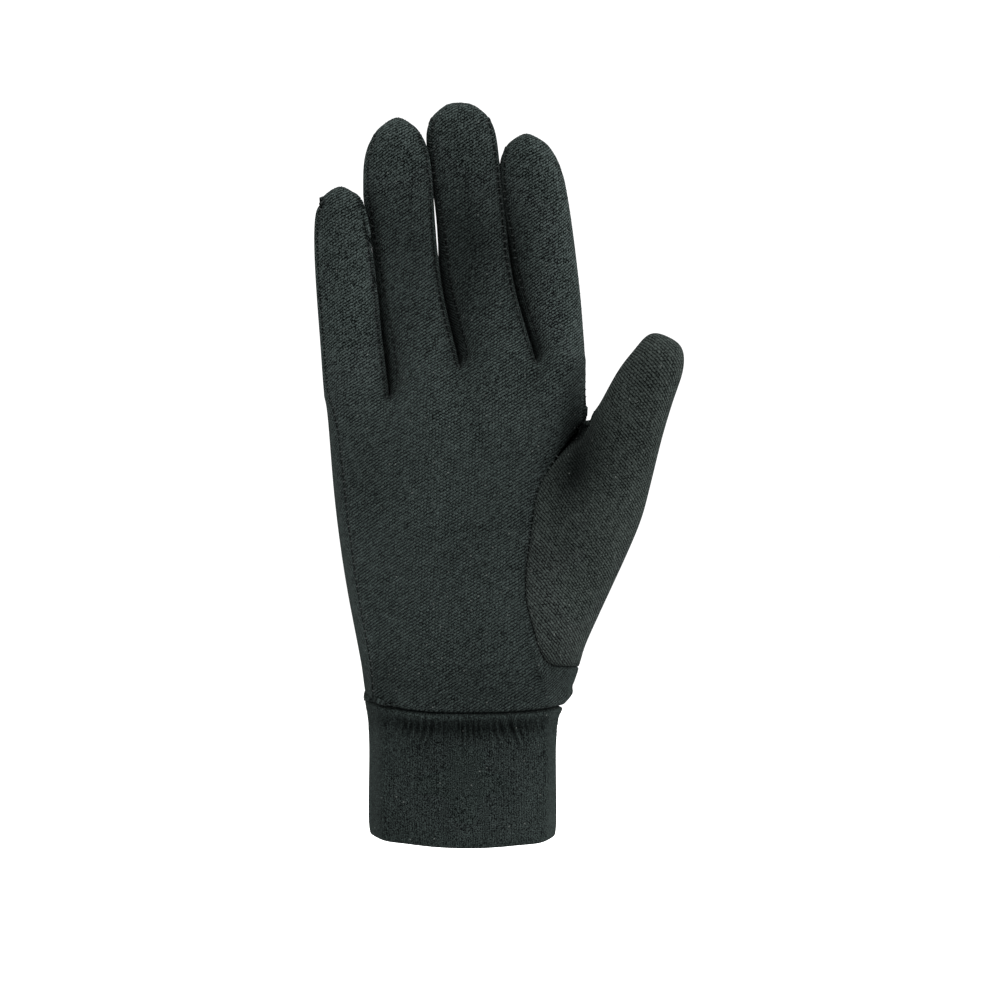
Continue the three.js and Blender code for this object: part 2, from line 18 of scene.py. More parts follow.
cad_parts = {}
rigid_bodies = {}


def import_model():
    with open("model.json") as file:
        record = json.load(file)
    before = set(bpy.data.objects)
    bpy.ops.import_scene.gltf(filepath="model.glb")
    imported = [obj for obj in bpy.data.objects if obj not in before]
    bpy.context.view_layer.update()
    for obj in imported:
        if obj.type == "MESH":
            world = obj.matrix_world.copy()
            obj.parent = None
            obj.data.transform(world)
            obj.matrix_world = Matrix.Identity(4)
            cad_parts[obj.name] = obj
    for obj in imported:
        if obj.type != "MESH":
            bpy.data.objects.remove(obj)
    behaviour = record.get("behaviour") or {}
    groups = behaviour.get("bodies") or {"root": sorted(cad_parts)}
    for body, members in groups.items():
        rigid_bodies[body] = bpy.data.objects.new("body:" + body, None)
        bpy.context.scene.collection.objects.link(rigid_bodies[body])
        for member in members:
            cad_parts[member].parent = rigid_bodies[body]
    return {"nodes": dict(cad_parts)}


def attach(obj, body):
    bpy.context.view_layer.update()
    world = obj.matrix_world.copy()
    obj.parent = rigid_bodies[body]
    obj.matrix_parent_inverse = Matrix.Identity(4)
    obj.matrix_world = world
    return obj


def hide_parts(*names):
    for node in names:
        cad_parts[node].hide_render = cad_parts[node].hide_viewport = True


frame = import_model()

scene = bpy.context.scene
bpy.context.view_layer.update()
mm = 0.001
TOUCHING = 0.01 * mm  # two places closer than this are one place
print("CAD parts:", ", ".join(sorted(frame["nodes"])))

# %% [markdown]
# ## Helpers for edit mode
#
# An operator acts on everything that is selected. So each step first chooses one object, and then
# selects its faces in code, by their shape or their place. The corners of a mesh are read and
# written as one table of numbers, which is quicker than one corner at a time.


# %% Choose an object and select its faces
def choose(piece):
    bpy.ops.object.select_all(action="DESELECT")
    piece.select_set(True)
    bpy.context.view_layer.objects.active = piece


def edit(piece, kind="FACE"):
    choose(piece)
    bpy.ops.object.mode_set(mode="EDIT")
    bpy.ops.mesh.select_mode(type=kind)
    bpy.ops.mesh.select_all(action="DESELECT")


def edit_faces(piece, wanted):
    edit(piece)
    bpy.ops.object.mode_set(mode="OBJECT")
    piece.data.polygons.foreach_set("select", np.asarray(wanted, bool))
    bpy.ops.object.mode_set(mode="EDIT")


def done():
    bpy.ops.object.mode_set(mode="OBJECT")


def corners(piece):
    table = np.empty(len(piece.data.vertices) * 3)
    piece.data.vertices.foreach_get("co", table)
    return table.reshape(-1, 3)


def move_corners(piece, table):
    piece.data.vertices.foreach_set("co", np.asarray(table, float).ravel())
    piece.data.update()


def attribute(piece, name):
    """The values of a piece's own attribute, one row for each corner."""
    stored = piece.data.attributes[name]
    width = 3 if stored.data_type == "FLOAT_VECTOR" else 1
    table = np.empty(len(stored.data) * width, np.float32)
    stored.data.foreach_get("vector" if width == 3 else "value", table)
    return table.reshape(-1, 3).astype(float) if width == 3 else table.astype(float)


def store(piece, name, table):
    kind = "FLOAT_VECTOR" if table.ndim == 2 else "FLOAT"
    stored = piece.data.attributes.get(name) or piece.data.attributes.new(name, kind, "POINT")
    stored.data.foreach_set("vector" if table.ndim == 2 else "value", table.astype(np.float32).ravel())


def triangles(piece):
    return sum(len(face.vertices) - 2 for face in piece.data.polygons)


def hump(at, middle, width):
    """A soft bump that is 1 at its middle and fades on both sides."""
    return np.exp(-(((at - middle) / width) ** 2))


# %% [markdown]
# ## A panel's outer skin
#
# In the CAD model each panel is a closed wall: an outer skin, an inner skin and a narrow rim
# between them. The copy arrives as loose triangles, so it is merged and its triangles are joined
# in pairs to quads, which subdivide smoothly. The rim's faces are the quads with two sides exactly
# as long as the cloth is thick. Once they are deleted the two skins come apart, and the smaller
# one, the inner skin, goes too. The wall is put back later, when the cloth has its folds. The
# rim's short sides, its posts, are kept as a note: they say how the cloth faces along the seam.

# %% Take the outer skin of a CAD part
CLOTH = 1.2 * mm  # the thickness of one layer of the knit in the CAD model
seam_places = {}
seam_ways = {}


def unit(table):
    return table / np.maximum(np.linalg.norm(table, axis=1, keepdims=True), 1e-12)


def tree_of(places):
    tree = kdtree.KDTree(len(places))
    for i, place in enumerate(places):
        tree.insert(place, i)
    tree.balance()
    return tree


def copy_part(node, name):
    piece = bpy.data.objects.new(name, frame["nodes"][node].data.copy())
    scene.collection.objects.link(piece)
    edit(piece)
    bpy.ops.mesh.customdata_custom_splitnormals_clear()
    bpy.ops.mesh.select_all(action="SELECT")
    bpy.ops.mesh.remove_doubles(threshold=TOUCHING)
    bpy.ops.mesh.tris_convert_to_quads(face_threshold=math.pi, shape_threshold=math.pi)
    done()
    piece.data.materials.clear()
    return piece


def is_rim(piece, face):
    places = [piece.data.vertices[i].co for i in face.vertices]
    sides = [(b - a).length for a, b in zip(places, places[1:] + places[:1])]
    return len(sides) == 4 and sum(abs(side - CLOTH) < TOUCHING for side in sides) >= 2


def rim_posts(piece, rim):
    """The short sides of the rim, each from the one skin's corner to the other's."""
    posts = set()
    for face in piece.data.polygons:
        if rim[face.index]:
            for a, b in face.edge_keys:
                side = (piece.data.vertices[a].co - piece.data.vertices[b].co).length
                if abs(side - CLOTH) < TOUCHING:
                    posts.add((a, b))
    table = corners(piece)
    ends = np.array(sorted(posts))
    return table[ends[:, 0]], table[ends[:, 1]]


def outer_skin(node, name):
    piece = copy_part(node, name)
    rim = [is_rim(piece, face) for face in piece.data.polygons]
    one, other = rim_posts(piece, rim)
    edit_faces(piece, rim)
    bpy.ops.mesh.delete(type="FACE")
    done()
    edit_faces(piece, [face.index == 0 for face in piece.data.polygons])
    bpy.ops.mesh.select_linked()
    done()
    picked = sum(face.area for face in piece.data.polygons if face.select)
    rest = sum(face.area for face in piece.data.polygons if not face.select)
    edit_faces(piece, [face.select == (picked < rest) for face in piece.data.polygons])
    bpy.ops.mesh.delete(type="FACE")
    bpy.ops.mesh.select_all(action="SELECT")
    bpy.ops.mesh.delete_loose()
    done()
    skin = tree_of(corners(piece))
    outer = np.array([skin.find(place)[2] < TOUCHING for place in one])
    true_post = outer != np.array([skin.find(place)[2] < TOUCHING for place in other])
    seam_places[name] = np.where(outer[:, None], one, other)[true_post]
    seam_ways[name] = unit(np.where(outer[:, None], one - other, other - one))[true_post]
    print(f"{name}: {true_post.sum()} posts on its rim, {(~true_post).sum()} other sides as short as a post")
    print(f"{name}: {len(piece.data.polygons)} faces, {max(picked, rest) * 1e4:.1f} cm2 of cloth")
    return piece


panels = {
    "palm": outer_skin("palm", "palm_panel"),
    "back": outer_skin("back", "back_panel"),
    "fourchette_little_ring": outer_skin("fourchette_little_ring", "little_ring_strip"),
    "fourchette_ring_middle": outer_skin("fourchette_ring_middle", "ring_middle_strip"),
    "fourchette_middle_index": outer_skin("fourchette_middle_index", "middle_index_strip"),
    "thumb": outer_skin("thumb", "thumb_sleeve"),
}

# %% [markdown]
# ## Round the panels
#
# A subdivision surface turns the facets into smooth cloth, but it also draws the surface in a
# little from its corners. So the corners are first moved out, in a few passes, until the smooth
# surface goes through the places that the CAD model gave them. Corners where two seams meet at an
# angle stay sharp, so that the neighbours still meet there. The hand's two large panels are then
# smoothed below the fingers, because worn cloth lies over the palm without any facets.

# %% Subdivide through the CAD's places
MOST_MOVED = 0.9 * mm  # a corner goes no further out than this
FITTING_PASSES = 5
SOFT_BELOW = 0.143  # a little below the fingers' roots
SOFT_PASSES = 16
evaluated = bpy.context.evaluated_depsgraph_get


def smoothed_corners(piece, count):
    shown = piece.evaluated_get(evaluated())
    table = np.empty(len(shown.data.vertices) * 3)
    shown.data.vertices.foreach_get("co", table)
    return table.reshape(-1, 3)[:count]


def subdivide(piece, levels):
    modifier = piece.modifiers.new("smooth", "SUBSURF")
    modifier.levels = modifier.render_levels = levels
    modifier.boundary_smooth = "PRESERVE_CORNERS"
    wanted = corners(piece)
    cage = wanted.copy()
    for _ in range(FITTING_PASSES):
        move_corners(piece, cage)
        bpy.context.view_layer.update()
        moved = cage - smoothed_corners(piece, len(cage))
        far = np.linalg.norm(moved, axis=1, keepdims=True)
        cage = wanted + moved * np.minimum(1, MOST_MOVED / np.maximum(far, 1e-12))
    move_corners(piece, cage)
    choose(piece)
    bpy.ops.object.modifier_apply(modifier="smooth")


def open_edges(piece):
    edit(piece, "EDGE")
    unwanted = ("use_wire", "use_multi_face", "use_non_contiguous", "use_verts")
    bpy.ops.mesh.select_non_manifold(extend=False, use_boundary=True, **dict.fromkeys(unwanted, False))


def soften(piece, top, passes):
    """Smooths the cloth below a height, away from its edges."""
    open_edges(piece)
    bpy.ops.mesh.select_more()
    done()
    table = corners(piece)
    fixed = np.array([v.select for v in piece.data.vertices])
    edit(piece, "VERT")
    done()
    piece.data.vertices.foreach_set("select", ~fixed & (table[:, 2] < top))
    bpy.ops.object.mode_set(mode="EDIT")
    bpy.ops.mesh.vertices_smooth(factor=0.5, repeat=passes)
    done()


for part, piece in panels.items():
    subdivide(piece, 1)
    if part in ("palm", "back"):
        soften(piece, SOFT_BELOW, SOFT_PASSES)
    print(f"{piece.name}: {len(piece.data.polygons)} faces")

# %% [markdown]
# ## A narrow border along the edges
#
# At a seam the cloth turns in sharply, but a subdivision rounds a wide face as a whole. An inset
# puts a border of narrow faces along each panel's edge, so that only the border bends. It comes
# after the first rounding, so that the border's corners already lie on the curve of the cloth.

# %% Inset a border
BORDER = 0.7 * mm


def add_border(piece):
    edit(piece)
    bpy.ops.mesh.select_all(action="SELECT")
    bpy.ops.mesh.inset(thickness=BORDER, use_boundary=True, use_even_offset=False)
    done()


for piece in panels.values():
    add_border(piece)
    print(f"{piece.name}: {len(piece.data.polygons)} faces with its border")

# %% [markdown]
# ## Lay the cloth flat
#
# A knit's ribs follow the cloth round every curve, so the pattern needs a flat map of each panel,
# as a pattern cutter would draw it. Unwrapping makes the map. The thumb is a tube, so it is first
# cut along both its sides. The maps are then turned upright, as the panel hangs on the hand, and
# scaled until one unit is one metre of cloth, so that one yarn has the same size everywhere.
#
# On the palm, where the ribs are seen best, an unwrap turns them by up to 30 degrees. The palm is
# pressed flat from the front instead. Then, in many small passes, each side of a face is let out or
# taken in towards the length that it has on the cloth. That keeps 98% of the front's area within 5
# degrees. The price is that about one in eighty of its faces, all near an edge, comes out mirrored.

# %% Make a flat map in metres
PRESSES = 300
HASTE = 1.6  # above 1 the passes settle sooner


def upright(flat, place):
    """The turn that lays a flat map the way the panel hangs."""
    a = flat - flat.mean(0)
    b = place - place.mean(0)
    turned = (a[:, 0] - 1j * a[:, 1]) @ (b[:, 0] + 1j * b[:, 1])
    return turned / abs(turned)


def scale_map(piece, faces, facing):
    """Turns and scales the part of the flat map that these faces use."""
    mesh = piece.data
    layer = mesh.uv_layers.active.data
    loops = [i for face in faces for i in face.loop_indices]
    flat = np.array([layer[i].uv[:] for i in loops])
    co = corners(piece)[[mesh.loops[i].vertex_index for i in loops]]
    seen = np.column_stack([co[:, 0] * -facing if facing else co[:, 1], co[:, 2]])
    turn = upright(flat, seen)
    area = 0.0
    start = 0
    for face in faces:
        ring = flat[start : start + face.loop_total]
        after = np.roll(ring, -1, 0)
        area += abs((ring[:, 0] * after[:, 1] - ring[:, 1] * after[:, 0]).sum()) / 2
        start += face.loop_total
    scale = math.sqrt(sum(face.area for face in faces) / area)
    laid = (flat[:, 0] + 1j * flat[:, 1]) * turn * scale
    for i, value in zip(loops, laid):
        layer[i].uv = (value.real, value.imag)
    return scale


def press_flat(piece):
    """Presses a panel flat from the front and then lets its edges out to their true lengths."""
    mesh = piece.data
    table = corners(piece)
    flat = table[:, [0, 2]].copy()
    sides = {edge.vertices[:] for edge in mesh.edges}
    for face in mesh.polygons:
        if len(face.vertices) == 4:
            a, b, c, d = face.vertices
            sides |= {(a, c), (b, d)}
    sides = np.array(sorted(sides))
    true = np.linalg.norm(table[sides[:, 0]] - table[sides[:, 1]], axis=1)
    shared = np.bincount(sides.ravel(), minlength=len(table))[:, None]
    for _ in range(PRESSES):
        along = flat[sides[:, 1]] - flat[sides[:, 0]]
        now = np.maximum(np.linalg.norm(along, axis=1), 1e-9)
        shift = along * ((now - true) / now / 2)[:, None]
        move = np.zeros_like(flat)
        np.add.at(move, sides[:, 0], shift)
        np.add.at(move, sides[:, 1], -shift)
        flat += HASTE * move / shared
    layer = mesh.uv_layers.active or mesh.uv_layers.new(name="UVMap")
    layer.data.foreach_set("uv", flat[[loop.vertex_index for loop in mesh.loops]].ravel())
    off = np.abs(np.linalg.norm(flat[sides[:, 1]] - flat[sides[:, 0]], axis=1) / true - 1)
    print(f"{piece.name}: half of its sides are within {100 * np.median(off):.1f}% of their length")


def lay_flat(piece, cut_sides=False):
    edit(piece)
    if cut_sides:
        done()
        edit_faces(piece, [face.normal.y < 0 for face in piece.data.polygons])
        bpy.ops.mesh.region_to_loop()
        bpy.ops.mesh.mark_seam()
        bpy.ops.mesh.select_mode(type="FACE")
    bpy.ops.mesh.select_all(action="SELECT")
    bpy.ops.uv.unwrap(method="ANGLE_BASED", margin=0.01)
    done()
    faces = list(piece.data.polygons)
    if cut_sides:
        front = scale_map(piece, [face for face in faces if face.normal.y < 0], -1)
        back = scale_map(piece, [face for face in faces if face.normal.y >= 0], 1)
        print(piece.name, round(front, 4), "and", round(back, 4), "metres across its two maps")
    else:
        facing = {"palm_panel": -1, "back_panel": 1}.get(piece.name, 0)
        print(piece.name, round(scale_map(piece, faces, facing), 4), "metres across the map")


for part, piece in panels.items():
    if part == "palm":
        press_flat(piece)
    else:
        lay_flat(piece, cut_sides=part == "thumb")

# %% [markdown]
# ## Turn the edges in
#
# Two panels are sewn right side to right side, and their edges end up inside the glove, standing
# away from the surface. So the open edge is extruded, and the new edge is sunk below the surface.
# Each corner keeps two notes for later: the way that the cloth faces there, and whether it lies on
# the panel (0), on the seam (1) or on the turned-in edge (2). A last subdivision rounds the fold and
# carries both notes along.

# %% Extrude the seam allowance
ALLOWANCE = 1.6 * mm
LEAST_FACING = 0.6  # a post that agrees less than this with the skin's normal is turned halfway to it


def turn_in(piece):
    mesh = piece.data
    ways = np.array([v.normal[:] for v in mesh.vertices])
    count = len(ways)
    open_edges(piece)
    done()
    on_seam = np.array([v.select for v in mesh.vertices])
    seam = np.flatnonzero(on_seam)
    rim = tree_of(seam_places[piece.name])
    for i in seam:
        near = rim.find_n(mesh.vertices[i].co, 2)
        shared_way = unit(sum(seam_ways[piece.name][k] / (far + TOUCHING) for _, k, far in near)[None])[0]
        lean = 1.0 if shared_way @ ways[i] < LEAST_FACING else 0.0
        ways[i] = shared_way + lean * ways[i]
    ways = unit(ways)
    tree = tree_of(corners(piece)[seam])
    open_edges(piece)
    bpy.ops.mesh.extrude_region()
    done()
    table = corners(piece)
    source = seam[[tree.find(place)[1] for place in table[count:]]]
    all_ways = np.vstack([ways, ways[source]])
    table[count:] -= ways[source] * ALLOWANCE
    move_corners(piece, table)
    store(piece, "faces_out", all_ways)
    store(piece, "edge", np.concatenate([on_seam.astype(float), np.full(len(source), 2.0)]))


for part, piece in panels.items():
    turn_in(piece)
    subdivide(piece, 2 if part == "thumb" else 1)
    print(f"{piece.name}: {len(piece.data.polygons)} faces with its edges turned in")

# %% [markdown]
# ## Find the seams
#
# The corners with the note 1 lie along the seams. Followed from one to the next they give each
# seam's line. The stitches stand at even steps along the palm's lines, and along those of the back
# that the palm doesn't share. The seam at the wrist shows no stitches and the thumb's deep crease
# hides its own, so both get none.

# %% Follow the seams and space the stitches
STITCH_STEP = 2.4 * mm
WRIST_SEAM = 0.0475  # the height that the wrist seam stays below
CREASE = (30 * mm, 121 * mm, 141 * mm)  # the thumb's crease: an x and the two heights it lies between
SAME_SEAM = 1.2 * mm  # a stitch of the back closer than this to a palm seam is on that seam
SHORTEST_LINE = 8  # corners; shorter lines are crumbs
WRIST_CLEAR = 1.5 * mm  # the first stitch stands at least this far above the wrist seam
LOOK_AHEAD = 0.4 * mm  # how far ahead a line's direction is read
SEAM_STEP = 0.3 * mm


def on_seam_line(piece):
    return np.abs(attribute(piece, "edge") - 1) < 1e-3


def seam_lines(piece):
    on_line = on_seam_line(piece)
    linked = {}
    for edge in piece.data.edges:
        a, b = edge.vertices
        if on_line[a] and on_line[b]:
            linked.setdefault(a, []).append(b)
            linked.setdefault(b, []).append(a)
    lines = []
    while linked:
        line = [next(iter(linked))]
        while True:
            onward = [i for i in linked.pop(line[-1]) if i in linked]
            if not onward:
                break
            line.append(onward[0])
        if len(line) > SHORTEST_LINE:
            lines.append(line)
    return lines


def even_steps(places, ways, step):
    """Points, directions and facing at even steps along a closed line."""
    closed = np.vstack([places, places[:1]])
    faces = np.vstack([ways, ways[:1]])
    reach = np.concatenate([[0], np.cumsum(np.linalg.norm(np.diff(closed, axis=0), axis=1))])
    count = int(reach[-1] / step)
    at = (np.arange(count) + 0.5) * reach[-1] / count
    point = np.column_stack([np.interp(at, reach, closed[:, k]) for k in range(3)])
    ahead = np.column_stack([np.interp(at + LOOK_AHEAD, reach, closed[:, k]) for k in range(3)])
    way = np.column_stack([np.interp(at, reach, faces[:, k]) for k in range(3)])
    along = ahead - point
    return point, along, way


stitch_rows = []
shared = None
for part in ("palm", "back"):
    piece = panels[part]
    table = corners(piece)
    ways = attribute(piece, "faces_out")
    for line in seam_lines(piece):
        point, along, way = even_steps(table[line], ways[line], STITCH_STEP)
        keep = point[:, 2] > WRIST_SEAM + WRIST_CLEAR
        keep &= (point[:, 0] < CREASE[0]) | (point[:, 2] < CREASE[1]) | (point[:, 2] > CREASE[2])
        if shared is not None:
            keep &= np.array([shared.find(p)[2] > SAME_SEAM for p in point])
        stitch_rows.append((point[keep], unit(along[keep]), unit(way[keep])))
        print(part, "seam of", len(line), "corners,", int(keep.sum()), "stitches")
    if part == "palm":
        shared = tree_of(table[on_seam_line(piece)])
stitch_at, stitch_along, stitch_way = (np.vstack(rows) for rows in zip(*stitch_rows))
stitch_tree = tree_of(stitch_at)


def seam_points(piece, step):
    """Points along the seams of a panel, at most one step apart."""
    table = corners(piece)
    on_line = on_seam_line(piece)
    ends = np.array([edge.vertices[:] for edge in piece.data.edges])
    ends = ends[on_line[ends].all(1)]
    count = int(np.ceil(np.linalg.norm(table[ends[:, 0]] - table[ends[:, 1]], axis=1).max() / step))
    one, other = table[ends[:, 0]], table[ends[:, 1]]
    return np.vstack([one * (1 - k / count) + other * k / count for k in range(count)])


seam_tree = tree_of(np.vstack([seam_points(piece, SEAM_STEP) for piece in panels.values()]))
print("the stitches stand", STITCH_STEP / mm, "mm apart")

# %% [markdown]
# ## Sink the seams and press in the folds
#
# Thread pulls the cloth down along a seam, and a little further at each stitch. Elsewhere the
# cloth gives way at the joints of the fingers and beside the thumb. A sculptor would press these
# in with a soft brush. Here each fold is one row of a table: where its middle is, how long and wide
# it is, how it lies and how deep it goes. The corners then move along the way that the cloth faces.

# %% The table of folds
# Each row: side, x, z, half length, half width, turn in degrees and depth, all lengths in mm.
FOLDS = [
    ("front", -18.5, 187.5, 9.0, 4.0, -12, 0.5),
    ("front", 2.5, 191.0, 9.0, 4.5, -8, 0.7),
    ("front", 37.0, 131.0, 12.0, 3.6, 78, 1.6),
    ("front", 34.5, 118.0, 6.0, 4.5, 60, 1.5),
    ("front", 29.0, 76.0, 13.0, 9.0, 100, -0.7),
    ("front", -5.2, 236.0, 2.6, 3.5, 0, -0.6),
    ("front", 3.4, 236.0, 2.6, 3.5, 0, -0.6),
    ("front", -8.4, 190.0, 9.0, 2.2, 92, -0.55),
    ("front", -32.5, 205.0, 5.0, 2.2, 92, -0.8),
    ("front", 35.0, 56.0, 7.0, 5.0, 90, -1.2),
    ("back", 35.0, 56.0, 7.0, 5.0, 90, -1.2),
    ("front", -45.3, 204.6, 1.8, 1.8, 0, 0.9),
    ("back", -32.0, 178.0, 7.0, 2.6, -6, 0.5),
    ("back", -17.0, 190.0, 8.0, 2.8, 4, 0.6),
    ("back", 6.0, 192.0, 8.0, 2.8, 2, 0.6),
    ("back", 27.0, 186.0, 6.0, 2.6, -4, 0.5),
    ("back", -12.0, 60.0, 16.0, 3.0, 6, 0.5),
]
SEAM_SINK, SEAM_REACH = 0.18 * mm, 1.3 * mm
STITCH_SINK, STITCH_REACH = 0.16 * mm, 1.0 * mm
print(len(FOLDS), "folds")

# %% [markdown]
# Light and shade are also painted into the cloth's colour, where the soft light leaves it too even.
# Painted shade darkens the fingers round their middle joints, the hollow beside the thumb and the palm
# above the wrist, and painted light brightens the bulge below the thumb. A painter would brush this in
# as weights. A second table of the same kind does it here, and its last column says how much darker,
# from -1 to 1. The materials read the result as an attribute of each corner.

# %% The table of painted shade and painted light
SHADES = [
    # Painted shade where the last column is above nought, painted light where it is below.
    ("front", 3.0, 191.0, 25.0, 9.5, 92, 0.6),
    ("front", -16.0, 190.0, 24.0, 9.0, 92, 0.36),
    ("front", 17.0, 193.0, 22.0, 5.0, 96, 0.35),
    ("front", -2.6, 168.0, 12.0, 5.0, 105, 0.2),
    ("front", 36.4, 129.6, 13.0, 5.0, 75, 0.6),
    ("front", 35.0, 117.0, 8.0, 6.5, 60, 0.55),
    ("front", 43.0, 127.0, 12.0, 6.0, 100, 0.25),
    ("front", 0.6, 50.0, 36.0, 9.0, 0, 0.22),
    ("front", 29.0, 54.0, 8.0, 7.0, 90, 0.25),
    ("front", -25.0, 53.0, 9.0, 6.0, 90, 0.12),
    ("front", 28.8, 76.0, 12.0, 8.0, 100, -0.25),
]
SEAM_SHADE_REACH = 0.5 * mm  # how far the shade painted along a seam reaches
FULL_STRETCH = (125, 170)  # heights in mm: below the first the knit is closed, above the second open
FINGERS_END = 42 * mm  # the x beyond which only the thumb lies


def pressed(rows, table, ways):
    """How much each corner is pressed by the rows of a table of soft round places."""
    depth = np.zeros(len(table))
    for side, x, z, long, wide, turn, deep in rows:
        angle = math.radians(turn)
        dx, dz = table[:, 0] / mm - x, table[:, 2] / mm - z
        along = dx * math.cos(angle) + dz * math.sin(angle)
        across = -dx * math.sin(angle) + dz * math.cos(angle)
        facing = -ways[:, 1] if side == "front" else ways[:, 1]
        share = np.clip(facing * 2 + 0.6, 0, 1)  # a row fades where the cloth turns to the other side
        depth += deep * share * np.exp(-((along / long) ** 2) - (across / wide) ** 2)
    return depth


def sink(piece):
    table = corners(piece)
    ways = unit(attribute(piece, "faces_out"))
    to_seam = np.array([seam_tree.find(place)[2] for place in table])
    to_stitch = np.array([stitch_tree.find(place)[2] for place in table])
    depth = pressed(FOLDS, table, ways) * mm
    depth += SEAM_SINK * hump(to_seam, 0, SEAM_REACH)
    depth += STITCH_SINK * hump(to_stitch, 0, STITCH_REACH)
    move_corners(piece, table - ways * depth[:, None])
    # painted shade in the grooves along the seams
    store(piece, "seam_shade", hump(to_seam, 0, SEAM_SHADE_REACH))
    # the painted shade and painted light of the table above
    store(piece, "shade", pressed(SHADES, table, ways))
    low, high = FULL_STRETCH
    stretch = np.clip((table[:, 2] / mm - low) / (high - low), 0, 1)
    store(piece, "stretch", stretch * (table[:, 0] < FINGERS_END))
    print(f"{piece.name}: pressed in by up to {depth.max() / mm:.2f} mm")


for piece in panels.values():
    sink(piece)

# %% [markdown]
# ## Give the cloth its thickness
#
# A Solidify modifier puts the wall back, towards the inside, and closes it along the turned-in
# edges. It comes last, so that both sides of the cloth share the same folds.

# %% Solidify the panels
WALL = 0.9 * mm  # a little thinner than the wall of the CAD model


def thicken(piece):
    modifier = piece.modifiers.new("wall", "SOLIDIFY")
    modifier.thickness = WALL
    modifier.offset = -1
    choose(piece)
    bpy.ops.object.modifier_apply(modifier="wall")
    bpy.ops.object.shade_smooth()


for piece in panels.values():
    thicken(piece)
    print(f"{piece.name}: {triangles(piece)} triangles")

# %% [markdown]
# ## Press the wrist corner flat
#
# Where the back's lower corner meets the wrist seam, on the little finger's side, the cloth turns
# out in a small lip. On a real glove the seam holds it down. Cutting it off would leave a gap, so
# its corners are moved in, until they stand out no more than a third of a millimetre.

# %% Press the lip in
LIP_TOP = 48.8 * mm
LIP_SIDE = -31.7 * mm
table = corners(panels["back"])
lip = (table[:, 2] < LIP_TOP) & (table[:, 0] < LIP_SIDE)
table[lip, 0] = LIP_SIDE
move_corners(panels["back"], table)
print("corners pressed in at the wrist:", int(lip.sum()))

# %% [markdown]
# ## The cuff
#
# The cuff is knit folded double, so its CAD part is already the whole band: down the outside, round
# the hem and up the inside. Its copy is subdivided finely, because the cloth under the wrist seam
# is gathered: it rolls out right below the seam, falls back under that roll, and runs down in fine
# upright puckers that fade within a centimetre.

# %% Measure the cuff
# The band's half width and half depth, and the half width of its front, all in metres.
CUFF_X, CUFF_Y, FRONT_X = 0.0312, 0.0189, 0.031
SEAM_LOW, SEAM_RISE = 43 * mm, 4.2 * mm  # the wrist seam in front, and how much it rises at the sides

cuff = copy_part("cuff", "cuff_band")
subdivide(cuff, 3)
table = corners(cuff)
cuff_ways = np.array([v.normal[:] for v in cuff.data.vertices])
around = np.arctan2(table[:, 0], -table[:, 1])
outside = (cuff_ways[:, :2] * table[:, :2]).sum(1) > 0
rise = SEAM_RISE * np.abs(table[:, 0] / CUFF_X) ** 3 * np.where(table[:, 0] < 0, 1, 0.4)
below = np.maximum(SEAM_LOW + rise - table[:, 2], 0) / mm
front_share = np.clip(1 - (table[:, 0] / FRONT_X) ** 4, 0, 1)
print("cuff:", int(outside.sum()), "of", len(table), "corners are on the outside")

# %% Gather the cuff
# How far out each form stands, in mm: the tuck at the seam, the roll, the hollow and the puckers.
TUCK, SIDE_TUCK, ROLL, HOLLOW, PUCKER = 0.5, 1.1, 0.35, 0.85, 0.25
PUCKERS = 42  # upright waves for each radian round the wrist
LEFT_OUT, RIGHT_OUT = 0.5, -0.8  # how far the band's two sides stand out below the seam, in mm
HEM_SAG, HEM_AT, HEM_REACH = 0.8, 25, 5  # how deep the hem's two ends hang, where and how wide, in mm
INSIDE = 0.6  # the share of each form that the inner layer follows

tuck = (TUCK + SIDE_TUCK * (1 - front_share)) * hump(below, 0, 0.8)
roll = ROLL * hump(below, 1.7, 0.9) * front_share
hollow = HOLLOW * hump(below, 5.4, 2.6) * front_share
beat = around * PUCKERS * (1 - 0.014 * below)
beat = beat + 1.4 * np.sin(around * 5 + 0.7) + 0.9 * np.sin(around * 11 + 2.1)
uneven = 0.62 + 0.25 * np.sin(around * 9 + 1.0) + 0.2 * np.sin(around * 23 + 2.0)
pucker = (1 - 2 * np.abs(np.sin(beat)) ** 0.7) * uneven
length = 6.0 + 1.6 * np.sin(around * 17) + 1.2 * np.sin(around * 31 + 1.0)
fade = hump(below, length, 4.6)
spread = np.where(table[:, 0] < 0, LEFT_OUT, RIGHT_OUT) * (1 - front_share) * np.clip(below / 4, 0, 1)
relief = roll - tuck - hollow + spread + PUCKER * pucker * fade
outwards = unit(np.column_stack([table[:, 0] / CUFF_X**2, table[:, 1] / CUFF_Y**2, np.zeros(len(table))]))
lift = np.where(outside, relief, INSIDE * relief) * mm
near_hem = np.clip(1 - table[:, 2] / (6 * mm), 0, 1)
sag = HEM_SAG * mm * hump(np.abs(table[:, 0]) / mm, HEM_AT, HEM_REACH) * near_hem
move_corners(cuff, table + outwards * lift[:, None] - sag[:, None] * (0, 0, 1))
choose(cuff)
bpy.ops.object.shade_smooth()
print(f"{cuff.name}: {triangles(cuff)} triangles")

# %% [markdown]
# The cuff is a plain band, so its flat map needs no unwrapping: the distance round the wrist goes
# across and the height goes up. Each face works out its angle from its own middle, so that no face
# is stretched where the angle jumps from half a turn to minus half a turn. The inside carries on
# below the hem, where the cloth is folded. Light and shade are also painted in: shade in the pleats
# under the roll and in the puckers' folds, light on the roll and on the puckers' ridges.

